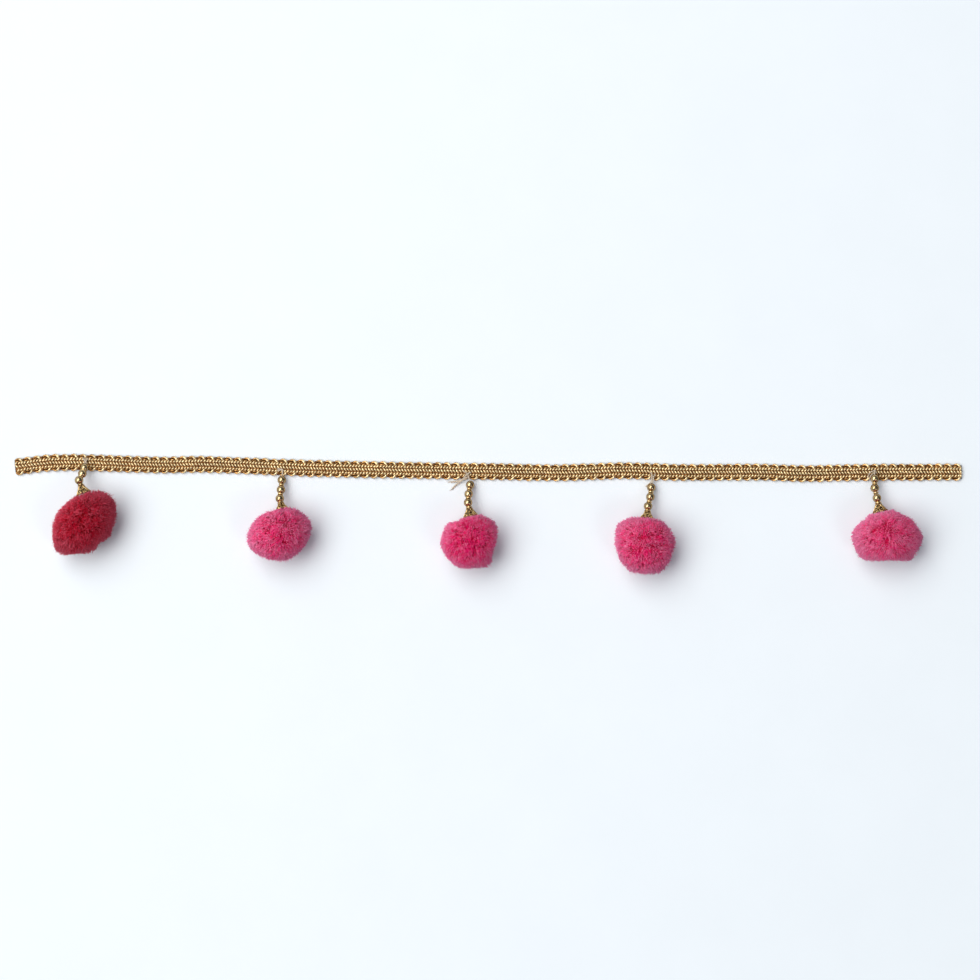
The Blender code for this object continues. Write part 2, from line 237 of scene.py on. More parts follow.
# How far tufts reach, and the least, usual and most that their yarn ends do.
TUFT_REACH = (0.97, 1.03)
FIBRE_REACH = (0.9, 1.01, 1.06)
# Shares of a tuft and of a single yarn end in the tint, which turns it pale, and in the tone.
TUFT_TINT, FIBRE_TINT = 0.7, 0.6
TUFT_TONE, FIBRE_TONE = 0.6, 0.4
# Stray hairs: how many, their radii, their lean, the least and the further part of their reach, and tint,
# which paints them pale for the light that shines through thin hairs.
FUZZ = 1500
FUZZ_RADIUS = (0.045, 0.035, 0.0)
FUZZ_LEAN = 0.1
FUZZ_REACH = (1.02, 0.1)
FUZZ_TINT = (0.5, 1.2)
# How much paler than the deepest each pompom's yarn is.
PALENESS = (-0.22, -0.04, -0.22, -0.1, -0.02)
# Painted light: how much paler the yarn is painted round the side than on the crown, for the light that
# shines through its hairs at the rim.
RIM_PAINTED_LIGHT = 1.1
# Yarn within the first radius of the cap's axis may reach this far into the bell. Within the second it
# stays under the rim by the last number.
BELL_MOUTH = 2.0
INTO_BELL = 0.4
CAP_SIDE = 3.2
UNDER_RIM = -0.16
LOWEST_YARN = 0.12
SMALLEST = 1e-6

# Two-ply threads: radius, pitch of the plies, radius of one ply, and points along the line.
THREAD = (0.22, 1.3, 0.125, 110)
STITCH = (0.2, 1.2, 0.12, 30)
TAIL = (0.3, 1.5, 0.18, 52)
PLY_SIDES = 6
# The plies' middles lie at this share of the thread's radius, set out from a way that no thread takes.
PLY_SPREAD = 0.52
PLY_UP = WORLD_UP + np.array((0.13, 0.07, 0.0))
# In a bead the thread's straight stretch ends at this share of its radius.
STRAIGHT_SHARE = 0.6
# Loose hairs at a long thread end: how many, how far they reach, stray, rise and bend, and their mesh.
HAIRS = 7
HAIR_REACH = (0.5, 1.1)
HAIR_STRAY = 0.28
HAIR_HEIGHT = (0.12, 0.35)
HAIR_BEND = 0.08
HAIR_RADII = (0.06, 0.035)
HAIR_POINTS = 6
HAIR_SIDES = 4
STITCH_SEED = 23
# Stitches on the braid, in millimetres.
STITCHES = (
    ((-9.6, 0.6, 0.9), (-9.0, 0.2, 1.8), (-8.2, -0.5, 1.95), (-7.4, -0.95, 1.95)),
    (
        (58.4, -0.45, 0.9), (57.75, -1.75, 1.75), (56.9, -3.3, 1.7), (56.2, -4.1, 1.6), (55.5, -4.7, 0.9),
        (54.9, -5.25, 0.3),
    ),
    ((56.5, 0.0, 0.9), (57.1, -1.2, 1.75), (57.6, -2.6, 1.75), (57.1, -4.1, 2.1)),
    ((-74.6, 0.9, 0.95), (-74.0, 0.95, 1.7), (-73.1, 0.8, 1.95), (-72.4, 0.45, 1.95)),
    ((-74.6, 0.2, 0.95), (-74.0, 0.45, 1.75), (-73.1, 0.55, 1.95), (-72.3, 0.35, 1.9)),
    ((132.9, -2.4, 1.0), (133.1, -1.2, 1.9), (133.8, -0.25, 2.1), (134.8, 0.2, 2.0), (135.8, 0.5, 1.4)),
    ((133.6, -2.7, 1.1), (133.8, -1.6, 1.95), (134.4, -0.9, 2.15), (135.2, -0.5, 2.0), (136.1, -0.3, 1.3)),
    ((-142.9, 4.9, 0.95), (-142.6, 4.4, 1.9), (-142.0, 3.7, 2.3), (-141.4, 2.9, 2.5)),
    ((-141.0, 4.6, 0.95), (-141.3, 4.2, 1.9), (-141.7, 3.5, 2.4), (-142.3, 2.9, 2.6)),
)
# The two thread ends that were left long beside the third string.
TAILS = (
    (
        (-6.5, -0.35, 0.9), (-7.5, -0.7, 1.75), (-8.6, -1.75, 1.8), (-9.6, -3.0, 1.45), (-11.0, -4.0, 0.85),
        (-12.4, -5.25, 0.44), (-13.1, -5.95, 0.38),
    ),
    ((-7.2, -1.75, 0.9), (-8.4, -2.3, 1.6), (-10.0, -3.1, 1.3), (-11.7, -3.5, 0.65), (-13.6, -3.7, 0.38)),
)

# Colours are linear. Yarns and threads go from their deepest to their lightest.
BRAID_GOLD = ((0.22, 0.088, 0.021), (0.82, 0.46, 0.16), (1.0, 0.8, 0.46))
BRAID_SHADE = ((0.18, 0.065, 0.015), (0.36, 0.15, 0.042), (0.5, 0.26, 0.1))
COTTON = ((0.42, 0.33, 0.23), (0.76, 0.65, 0.52))
# Each pompom yarn: at the root, painted deep as the shade inside the ball, on the body, at the tip, in pale
# tufts, and its sheen.
CRIMSON = ((0.28, 0.001, 0.006), (0.5, 0.001, 0.016), (0.6, 0.005, 0.038), (0.8, 0.15, 0.23), (1.0, 0.4, 0.5))
RASPBERRY = ((0.55, 0.002, 0.05), (0.96, 0.004, 0.12), (1.0, 0.015, 0.25), (1.0, 0.4, 0.64), (1.0, 0.5, 0.72))
# Each plating: in its hollows, where worn bright, range of roughness, noise scale, bump, tint at its edge.
BEAD_PLATE = ((0.4, 0.28, 0.14), (0.6, 0.44, 0.24), (0.05, 0.11), 600.0, 0.1, (0.12, 0.08, 0.04))
RING_PLATE = ((0.7, 0.48, 0.22), (0.9, 0.68, 0.36), (0.15, 0.3), 900.0, 0.2, (0.7, 0.6, 0.4))
CAP_PLATE = ((0.34, 0.2, 0.07), (0.88, 0.62, 0.3), (0.18, 0.32), 900.0, 0.3, (0.3, 0.22, 0.12))
# Painted shade: the inner bell's plating is near black, for the shade inside the cap.
CAP_SHADE = ((0.012, 0.006, 0.002), (0.04, 0.02, 0.007), (0.5, 0.65), 900.0, 0.4, (0.2, 0.15, 0.1))
# A faint glow stands for the light that scatters inside fine yarn, and normals that turn this much of the
# way out of the ball for the light that wanders between its hairs.
YARN_GLOW = 0.07
YARN_SOFTNESS = 0.5
PAPER_STOPS = ((0.3, (0.83, 0.88, 0.92)), (0.7, (0.845, 0.895, 0.935)))
# The paper's half width and how far it lies under the trim, in millimetres.
PAPER_REACH = 3000.0
PAPER_DROP = 0.02

# Lamps: name, place in metres, size, power and colour. Each faces the middle of the braid.
LAMPS = (
    ("key", (-0.74, 0.3, 1.5), (2.3, 1.15), 30.8, (1.0, 0.975, 0.94)),
    ("fill", (0.9, -0.9, 1.5), (0.6, 0.6), 4.0, (0.93, 0.97, 1.0)),
)
# The sky is brightest this way, and darkest from where the way's share of a direction is the second number.
SKY_WAY = (-0.78, 0.3, 0.55)
SKY_FROM = -0.6
SKY_STOPS = ((0.2, (0.1, 0.105, 0.12)), (0.7, (0.24, 0.26, 0.29)), (0.9, (0.66, 0.71, 0.76)))


def unit(vectors):
    """The vectors at length 1."""
    return vectors / np.linalg.norm(vectors, axis=-1, keepdims=True)


class Shape:
    """Gathers the points, faces and point values of one mesh."""

    def __init__(self):
        self.points = []
        self.faces = []
        self.slots = []
        self.values = []
        self.count = 0

    def add(self, points, faces, slot=0, **values):
        points = points.reshape(-1, 3)
        for group in faces:
            self.faces.append(group + self.count)
            self.slots.append(np.full(len(group), slot))
        self.points.append(points)
        self.values.append({key: np.broadcast_to(value, len(points)) for key, value in values.items()})
        self.count += len(points)

    def build(self, name, materials, origin=(0.0, 0.0, 0.0), sharp=None):
        """Makes the object, from millimetres, with its own origin in metres."""
        mesh = bpy.data.meshes.new(name)
        points = np.concatenate(self.points) * MM - np.array(origin)
        mesh.vertices.add(len(points))
        mesh.vertices.foreach_set("co", points.ravel())
        corners = np.concatenate([group.ravel() for group in self.faces])
        sizes = np.concatenate([np.full(len(group), group.shape[1]) for group in self.faces])
        mesh.loops.add(len(corners))
        mesh.loops.foreach_set("vertex_index", corners)
        mesh.polygons.add(len(sizes))
        mesh.polygons.foreach_set("loop_start", np.cumsum(sizes) - sizes)
        mesh.polygons.foreach_set("material_index", np.concatenate(self.slots))
        mesh.update(calc_edges=True)
        mesh.validate()
        mesh.shade_smooth()
        if sharp is not None:
            mesh.set_sharp_from_angle(angle=sharp)
        for key in self.values[0]:
            attribute = mesh.attributes.new(key, "FLOAT", "POINT")
            attribute.data.foreach_set("value", np.concatenate([values[key] for values in self.values]))
        for material in materials:
            mesh.materials.append(material)
        piece = bpy.data.objects.new(name, mesh)
        piece.location = origin
        bpy.context.scene.collection.objects.link(piece)
        return piece


def sweep(lines, radii, sides, up=WORLD_UP, lobes=0.0, twist=0.0, closed=False, pointed=False):
    """Tubes along many lines of equally many points. Returns their points and faces.

    Two lobes stand out from each tube by the share in lobes. The twist is twice the angle of their turn.
    """
    count, stations = lines.shape[:2]
    if closed:
        tangents = unit(np.roll(lines, -1, axis=1) - np.roll(lines, 1, axis=1))
    else:
        tangents = unit(np.gradient(lines, axis=1))
    sideways = unit(np.cross(np.broadcast_to(up, lines.shape), tangents))
    upwards = np.cross(tangents, sideways)
    angles = np.arange(sides) * TAU / sides
    radii = np.broadcast_to(radii, (count, stations))[..., None]
    twist = np.broadcast_to(twist, (count, stations))[..., None]
    radii = radii * (1 + lobes * np.cos(2 * angles - twist))
    rings = lines[:, :, None, :] + sideways[:, :, None, :] * (radii * np.cos(angles))[..., None]
    rings = rings + upwards[:, :, None, :] * (radii * np.sin(angles))[..., None]
    full = stations - 1 if pointed else stations
    places = rings[:, :full].reshape(count, full * sides, 3)
    if pointed:
        places = np.concatenate([places, lines[:, -1:]], axis=1)
    first = np.arange(count)[:, None, None] * places.shape[1]
    spans = full if closed else full - 1
    ring = np.arange(spans)[None, :, None] * sides
    after = (np.arange(spans)[None, :, None] + 1) % full * sides
    corner = np.arange(sides)[None, None, :]
    beside = (corner + 1) % sides
    here, beyond = first + ring, first + after
    quads = np.stack([here + corner, here + beside, beyond + beside, beyond + corner], axis=-1)
    faces = [quads.reshape(-1, 4)]
    if not closed:
        start = np.arange(count)[:, None] * places.shape[1]
        faces.append(start + np.arange(sides)[::-1])
        last = start + (full - 1) * sides
        if pointed:
            tip = np.broadcast_to(last + sides, (count, sides))
            faces.append(np.stack([last + corner[0], last + beside[0], tip], axis=-1).reshape(-1, 3))
        else:
            faces.append(last + np.arange(sides))
    return places, faces


def turned(profile, steps):
    """Turns a closed profile of (radius, height) round Z. It goes up on its outer side."""
    profile = np.array(profile)
    angles = np.arange(steps) * TAU / steps
    radius = profile[None, :, 0]
    height = np.broadcast_to(profile[None, :, 1], (steps, len(profile)))
    across = radius * np.cos(angles)[:, None]
    along = radius * np.sin(angles)[:, None]
    points = np.stack([across, along, height], axis=-1)
    step = np.arange(steps)[:, None] * len(profile)
    after = (np.arange(steps)[:, None] + 1) % steps * len(profile)
    place = np.arange(len(profile))[None, :]
    beyond = (place + 1) % len(profile)
    quads = np.stack([step + place, after + place, after + beyond, step + beyond], axis=-1)
    return points, [quads.reshape(-1, 4)]


def placed(points, matrix):
    """Points moved by a matrix whose place is in millimetres."""
    matrix = np.array(matrix)
    return points.reshape(-1, 3) @ matrix[:3, :3].T + matrix[:3, 3]


def icosphere(subdivisions):
    """Points and triangles of a ball of radius 1."""
    form = bmesh.new()
    bmesh.ops.create_icosphere(form, subdivisions=subdivisions, radius=1.0)
    points = np.array([vert.co for vert in form.verts])
    faces = np.array([[vert.index for vert in face.verts] for face in form.faces])
    form.free()
    return points, faces


def balls(centres, radius, form):
    """Small round grains at the centres."""
    points, faces = form
    places = np.array(centres)[:, None, :] + points[None] * radius
    first = np.arange(len(centres))[:, None, None] * len(points)
    return places, [(first + faces[None]).reshape(-1, 3)]


def smooth_line(points, steps):
    """A Catmull-Rom line through the points."""
    points = np.array(points, float)
    ends = [2 * points[0] - points[1], *points, 2 * points[-1] - points[-2]]
    line = []
    for before, start, stop, after in zip(ends, ends[1:], ends[2:], ends[3:]):
        share = np.linspace(0, 1, steps, endpoint=False)[:, None]
        line.append(
            start
            + 0.5 * (stop - before) * share
            + (before - 2.5 * start + 2 * stop - 0.5 * after) * share**2
            + (1.5 * (start - stop) + 0.5 * (after - before)) * share**3
        )
    line.append(points[-1:])
    return np.concatenate(line)


def run_lengths(line):
    """How far along the line each of its points lies."""
    return np.concatenate([[0], np.cumsum(np.linalg.norm(np.diff(line, axis=0), axis=-1))])


def even_line(points, count):
    """Evenly spaced points on the smooth line through the points."""
    line = smooth_line(points, 12)
    lengths = run_lengths(line)
    marks = np.linspace(0, lengths[-1], count)
    return np.stack([np.interp(marks, lengths, line[:, axis]) for axis in range(3)], axis=-1)


BRAID_COURSE = smooth_line(BRAID_LINE, 40)
BRAID_SLOPE = np.gradient(BRAID_COURSE[:, 1], BRAID_COURSE[:, 0])


def on_braid(points):
    """Moves points given along, across and up from a straight braid onto the real one."""
    along, across, up = points[..., 0], points[..., 1], points[..., 2]
    middle = np.interp(along, BRAID_COURSE[:, 0], BRAID_COURSE[:, 1])
    angle = np.arctan(np.interp(along, BRAID_COURSE[:, 0], BRAID_SLOPE))
    return np.stack([along - across * np.sin(angle), middle + across * np.cos(angle), up], axis=-1)


# ---- materials


def new_material(name):
    material = bpy.data.materials.new(name)
    material.use_nodes = True
    tree = material.node_tree
    return material, tree, tree.nodes["Principled BSDF"]


def add_noise(tree, scale, detail=3.0, roughness=0.6):
    """Noise in the piece's own space, with this many repeats to a metre."""
    place = tree.nodes.new("ShaderNodeTexCoord")
    texture = tree.nodes.new("ShaderNodeTexNoise")
    texture.inputs["Scale"].default_value = scale
    texture.inputs["Detail"].default_value = detail
    texture.inputs["Roughness"].default_value = roughness
    tree.links.new(place.outputs["Object"], texture.inputs["Vector"])
    return texture.outputs["Fac"]


def add_ramp(tree, value, stops):
    """A colour ramp over value. Each stop is (place, colour)."""
    ramp = tree.nodes.new("ShaderNodeValToRGB")
    while len(ramp.color_ramp.elements) < len(stops):
        ramp.color_ramp.elements.new(0.5)
    for element, (place, colour) in zip(ramp.color_ramp.elements, stops):
        element.position = place
        element.color = (*colour, 1.0)
    tree.links.new(value, ramp.inputs["Fac"])
    return ramp.outputs["Color"]


def add_attribute(tree, name):
    attribute = tree.nodes.new("ShaderNodeAttribute")
    attribute.attribute_name = name
    return attribute.outputs["Fac"]


def add_math(tree, operation, first, second):
    node = tree.nodes.new("ShaderNodeMath")
    node.operation = operation
    for socket, value in zip(node.inputs, (first, second)):
        if isinstance(value, (int, float)):
            socket.default_value = value
        else:
            tree.links.new(value, socket)
    return node.outputs["Value"]


def add_mix(tree, share, first, second, blend="MIX"):
    node = tree.nodes.new("ShaderNodeMix")
    node.data_type = "RGBA"
    node.blend_type = blend
    for number, value in zip((MIX_SHARE, *MIX_COLOURS), (share, first, second)):
        socket = node.inputs[number]
        if isinstance(value, tuple):
            socket.default_value = (*value, 1.0)
        elif isinstance(value, (int, float)):
            socket.default_value = value
        else:
            tree.links.new(value, socket)
    return node.outputs[MIX_COLOUR_RESULT]


def add_bump(tree, shader, height, strength, distance):
    bump = tree.nodes.new("ShaderNodeBump")
    bump.inputs["Strength"].default_value = strength
    bump.inputs["Distance"].default_value = distance
    tree.links.new(height, bump.inputs["Height"])
    tree.links.new(bump.outputs["Normal"], shader.inputs["Normal"])


def add_range(tree, value, low, high, start=0.0):
    """The value, from start to 1, stretched over low to high and kept there."""
    node = tree.nodes.new("ShaderNodeMapRange")
    node.inputs["From Min"].default_value = start
    node.inputs["To Min"].default_value = low
    node.inputs["To Max"].default_value = high
    tree.links.new(value, node.inputs["Value"])
    return node.outputs["Result"]


def add_tone(tree, colour, darkest):
    """The colour, darker where the tone value is low."""
    tone = add_range(tree, add_attribute(tree, "tone"), darkest, 1.0)
    grey = tree.nodes.new("ShaderNodeCombineColor")
    for socket in grey.inputs[:3]:
        tree.links.new(tone, socket)
    return add_mix(tree, 1.0, colour, grey.outputs["Color"], "MULTIPLY")


def gold_yarn(name, deep, middle, bright):
    """Metallic yarn with painted shade and light: deep brown where a strand dips under the next, bright on
    its crown.
    """
    material, tree, shader = new_material(name)
    rise = add_attribute(tree, "rise")
    rise = add_math(tree, "ADD", rise, add_range(tree, add_noise(tree, 1400.0), -0.3, 0.3))
    colour = add_ramp(tree, rise, ((0.15, deep), (0.62, middle), (1.0, bright)))
    tree.links.new(add_tone(tree, colour, 0.72), shader.inputs["Base Color"])
    shader.inputs["Metallic"].default_value = 0.85
    tree.links.new(add_range(tree, add_noise(tree, 2600.0), 0.26, 0.46), shader.inputs["Roughness"])
    add_bump(tree, shader, add_noise(tree, 5200.0, 2.0), 0.6, 0.0001)
    return material


def plated_gold(name, deep, bright, roughness, scale, bump, edge):
    """Plated metal with faint tarnish, worn bright in places. Edge is its tint where it turns away."""
    material, tree, shader = new_material(name)
    patches = add_noise(tree, scale, 4.0)
    tree.links.new(add_ramp(tree, patches, ((0.35, deep), (0.62, bright))), shader.inputs["Base Color"])
    shader.inputs["Metallic"].default_value = 1.0
    shader.inputs["Specular Tint"].default_value = (*edge, 1.0)
    low, high = roughness
    tree.links.new(add_range(tree, add_noise(tree, scale * 2.2), low, high), shader.inputs["Roughness"])
    add_bump(tree, shader, add_noise(tree, scale * 1.6, 2.0), bump, 0.0001)
    return material


def cotton(name, shade, light):
    """Matt twisted thread, darker between its plies."""
    material, tree, shader = new_material(name)
    colour = add_ramp(tree, add_noise(tree, 2600.0, 4.0), ((0.3, shade), (0.7, light)))
    tree.links.new(colour, shader.inputs["Base Color"])
    shader.inputs["Roughness"].default_value = 0.75
    shader.inputs["Sheen Weight"].default_value = 0.35
    shader.inputs["Sheen Roughness"].default_value = 0.5
    add_bump(tree, shader, add_noise(tree, 6000.0, 2.0), 0.6, 0.00005)
    return material


def soften(tree, shader, share):
    """Turns each normal towards the way out of the ball, as light that wanders between fine hairs does."""
    place = tree.nodes.new("ShaderNodeTexCoord")
    outwards = tree.nodes.new("ShaderNodeVectorMath")
    outwards.operation = "NORMALIZE"
    tree.links.new(place.outputs["Object"], outwards.inputs[0])
    blend = tree.nodes.new("ShaderNodeMix")
    blend.data_type = "VECTOR"
    blend.inputs[MIX_SHARE].default_value = share
    bumped = shader.inputs["Normal"].links[0].from_socket
    for number, normal in zip(MIX_VECTORS, (bumped, outwards.outputs["Vector"])):
        tree.links.new(normal, blend.inputs[number])
    even = tree.nodes.new("ShaderNodeVectorMath")
    even.operation = "NORMALIZE"
    tree.links.new(blend.outputs[MIX_VECTOR_RESULT], even.inputs[0])
    tree.links.new(even.outputs["Vector"], shader.inputs["Normal"])


def pompom_yarn(name, root, body, tip, pale, glow):
    """Cut yarn: painted deep towards the root, as the shade inside the ball, and lighter at the tip, with
    some tufts paler than others.
    """
    material, tree, shader = new_material(name)
    depth = add_attribute(tree, "depth")
    along = add_ramp(tree, depth, ((0.15, root), (0.7, body), (1.0, tip)))
    drift = add_attribute(tree, "tint")
    drift = add_math(tree, "ADD", drift, add_range(tree, add_noise(tree, 260.0), -0.25, 0.25))
    share = add_math(tree, "MULTIPLY", add_range(tree, drift, 0.0, 0.75), depth)
    mixed = add_tone(tree, add_mix(tree, share, along, pale), 0.68)
    tree.links.new(mixed, shader.inputs["Base Color"])
    tree.links.new(mixed, shader.inputs["Emission Color"])
    shader.inputs["Emission Strength"].default_value = YARN_GLOW
    shader.inputs["Roughness"].default_value = 0.85
    shader.inputs["Specular IOR Level"].default_value = 0.05
    shader.inputs["Sheen Weight"].default_value = 0.35
    shader.inputs["Sheen Roughness"].default_value = 0.45
    shader.inputs["Sheen Tint"].default_value = (*glow, 1.0)
    add_bump(tree, shader, add_noise(tree, 1800.0, 4.0), 0.4, 0.0002)
    soften(tree, shader, YARN_SOFTNESS)
    return material


def paper(name):
    material, tree, shader = new_material(name)
    colour = add_ramp(tree, add_noise(tree, 30.0), PAPER_STOPS)
    tree.links.new(colour, shader.inputs["Base Color"])
    shader.inputs["Roughness"].default_value = 0.8
    return material


# ---- braid


def leg_phase(lines, pitch):
    """Twice the angle that the plies have turned at each point of the lines."""
    lengths = np.linalg.norm(np.diff(lines, axis=1), axis=-1)
    lengths = np.concatenate([np.zeros((len(lines), 1)), np.cumsum(lengths, axis=1)], axis=1)
    return lengths * TAU * 2 / pitch


def strands_on_braid(shape, pattern, starts, radius, swell, mesh, rng, out=1.0, middle=0.0, painted_light=0.0):
    """Adds one strand like the pattern at each start along the braid.

    It is mirrored where out is -1. The last argument, a painted highlight, makes it brighter than its height
    does.
    """
    rings, sides = mesh
    pattern = even_line(pattern, rings)
    swell = np.interp(np.linspace(0, 1, rings), np.linspace(0, 1, len(swell)), swell)
    lines = np.repeat(pattern[None], len(starts), axis=0)
    lines[..., 0] += starts[:, None]
    lines[..., 1] = middle + lines[..., 1] * out
    lines += rng.normal(0, STRAND_STRAY, (len(starts), 1, 3)) * STRAND_STRAY_WAYS
    lines[..., 0] = np.clip(lines[..., 0], BRAID_START + radius, BRAID_END - radius)
    radii = radius * swell * rng.normal(1, STRAND_UNEVEN, (len(starts), 1))
    phase = leg_phase(lines, PLY_PITCH) + rng.uniform(0, TAU, (len(starts), 1))
    points, faces = sweep(on_braid(lines), radii, sides, lobes=PLY_DEPTH, twist=phase)
    # Painted shade and light: the lower a point of a strand lies, the darker it is painted.
    height = np.clip((lines[..., 2] - BRIGHT_FROM) / BRIGHT_RISE + painted_light, 0, 1)
    tone = np.repeat(rng.uniform(0, 1, len(starts)), rings * sides)
    shape.add(points, faces, rise=np.repeat(height, sides, axis=1).ravel(), tone=tone)


def braid(material, under):
    """The crocheted tape: three wales of slanting legs, and edge strands with picots, on a flat tape."""
    rng = np.random.default_rng(BRAID_SEED)
    shape = Shape()
    stations = np.arange(BRAID_START, BRAID_END + TAPE_STEP / 2, TAPE_STEP)
    profile = np.array(TAPE_PROFILE)
    count, width = len(stations), len(profile)
    tape = np.empty((count, width, 3))
    tape[..., 0] = stations[:, None]
    tape[..., 1] = profile[None, :, 0] * (1 + rng.normal(0, TAPE_UNEVEN[0], (count, 1)))
    tape[..., 2] = profile[None, :, 1] * (1 + rng.normal(0, TAPE_UNEVEN[1], (count, width)))
    step = np.arange(count - 1)[:, None] * width
    corner = np.arange(width)[None, :]
    beside = (corner + 1) % width
    quads = np.stack([step + corner, step + beside, step + width + beside, step + width + corner], axis=-1)
    ends = [corner[:, ::-1], (count - 1) * width + corner]
    # Painted shade: the tape takes the darker copy of the gold yarn.
    shape.add(on_braid(tape), [quads.reshape(-1, 4), *ends], slot=1, rise=TAPE_RISE, tone=TAPE_TONE)
    cells = BRAID_START + np.arange(PICOTS) * PICOT_PITCH
    legs = BRAID_START + (np.arange(PICOTS * LEGS_TO_A_PICOT) + 0.5) * LEG_PITCH
    inner = (np.arange(PICOTS * INNER_TO_A_PICOT) + INNER_SHIFT) * PICOT_PITCH / INNER_TO_A_PICOT
    for number, (middle, pattern) in enumerate(WALES):
        starts = legs + WALE_SHIFT * number
        strands_on_braid(shape, pattern, starts, LEG_RADIUS, LEG_SWELL, LEG_MESH, rng, middle=middle)
    for out in (1.0, -1.0):
        strands_on_braid(shape, INNER_DASH, BRAID_START + inner, INNER_RADIUS, LEG_SWELL, DASH_MESH, rng, out)
        strands_on_braid(shape, EDGE_DASH, cells[:-1], EDGE_RADIUS, LEG_SWELL, DASH_MESH, rng, out)
        # The picots get a painted highlight on top of the shade and light of their height.
        strands_on_braid(
            shape, PICOT_LOOP, cells, EDGE_RADIUS, PICOT_SWELL, PICOT_MESH, rng, out, painted_light=PICOT_PAINTED_LIGHT
        )
    return shape.build("braid_chain", (material, under))


# ---- hangers


def hanger(number):
    """The places that the beads, the cap and the pompom of one string share, as part.py has them."""
    start, *beads, faced = (Vector(point) for point in HANGERS[number])
    centre = Vector(POMPOMS[number][0])
    into_pompom = (faced - beads[-1]).normalized()
    cap_top = beads[-1] + into_pompom * CAP_FROM_BEAD
    rim = cap_top + into_pompom * CAP_LENGTH
    level = Vector((-into_pompom.x, -into_pompom.y, 0.0)).normalized()
    upper_rim = rim.dot(level) + CAP_FLARE[-1][1] * into_pompom.z
    line = [start, *beads, rim]
    axes = []
    for before, here, after in zip(line, line[1:], line[2:]):
        axes.append(((here - before).normalized() + (after - here).normalized()).normalized())
    facing_cap = (-into_pompom, (centre - rim).dot(into_pompom) - GAP)
    beside_rim = (level, upper_rim - centre.dot(level) - GAP)
    return {
        "start": start, "beads": beads, "axes": axes, "centre": centre, "into": into_pompom,
        "cap_top": cap_top, "rim": rim, "middle": (rim - centre).normalized(),
        "planes": (facing_cap, beside_rim),
    }


def facing(place, axis, roll=0.0):
    """A matrix that puts local Z along axis, at place."""
    turn = Vector(axis).to_track_quat("Z", "Y").to_matrix().to_4x4()
    return Matrix.Translation(Vector(place)) @ turn @ Matrix.Rotation(roll, 4, "Z")


def bead_profile():
    """A round bead with softened bore mouths, outer side going up."""
    reach = math.acos(BORE_RADIUS / BEAD_RADIUS)
    angles = np.linspace(-reach, reach, BEAD_BANDS)
    outer = np.stack([np.cos(angles), np.sin(angles)], axis=-1) * BEAD_RADIUS
    lip = outer[-1, 1]
    mouth, waist = BORE_RADIUS - MOUTH_INSET, BORE_RADIUS - WAIST_INSET
    inner = [(mouth, lip - MOUTH_DEPTH), (waist, 0.0), (mouth, MOUTH_DEPTH - lip)]
    return np.concatenate([outer, np.array(inner)])


def ring_profile(ring, radius, sides):
    angles = np.arange(sides) * TAU / sides
    return np.stack([ring + radius * np.cos(angles), radius * np.sin(angles)], axis=-1)


def beads(number, places, material):
    rng = np.random.default_rng(BEAD_SEED + number)
    pieces = []
    for index, (centre, axis) in enumerate(zip(places["beads"], places["axes"])):
        shape = Shape()
        points, faces = turned(bead_profile(), BEAD_STEPS)
        shape.add(placed(points, facing(centre, axis, rng.uniform(0, TAU))), faces)
        pieces.append(shape.build(f"gold_bead_{number + 1}_{index + 1}", (material,), sharp=BEAD_SHARP))
    return pieces


def spacers(number, places, material):
    """Small rings in the waists between the beads."""
    shape = Shape()
    points, faces = turned(ring_profile(SPACER_RING, SPACER_RADIUS, SPACER_SIDES), SPACER_STEPS)
    for near, far in zip(places["beads"], places["beads"][1:]):
        shape.add(placed(points, facing((near + far) / 2, far - near)), faces)
    above = places["cap_top"] - places["into"] * SPACER_BEFORE_CAP
    shape.add(placed(points, facing(above, places["into"])), faces)
    return shape.build(f"spacer_rings_{number + 1}", (material,))


def cap_radius(share):
    """The cap's radius at a share of its length."""
    fine = smooth_line(CAP_FLARE, 8)
    return np.interp(share, fine[:, 0], fine[:, 1])


def on_cap(turn, share, sink):
    """Points on the cap's flared surface, sunk below it. Local Z points back along the thread."""
    turn, share = np.broadcast_arrays(turn, share)
    radius = cap_radius(share) + np.clip(share - 1, 0, 1) * 2 - sink
    return np.stack([radius * np.cos(turn), radius * np.sin(turn), -share * CAP_LENGTH], axis=-1)


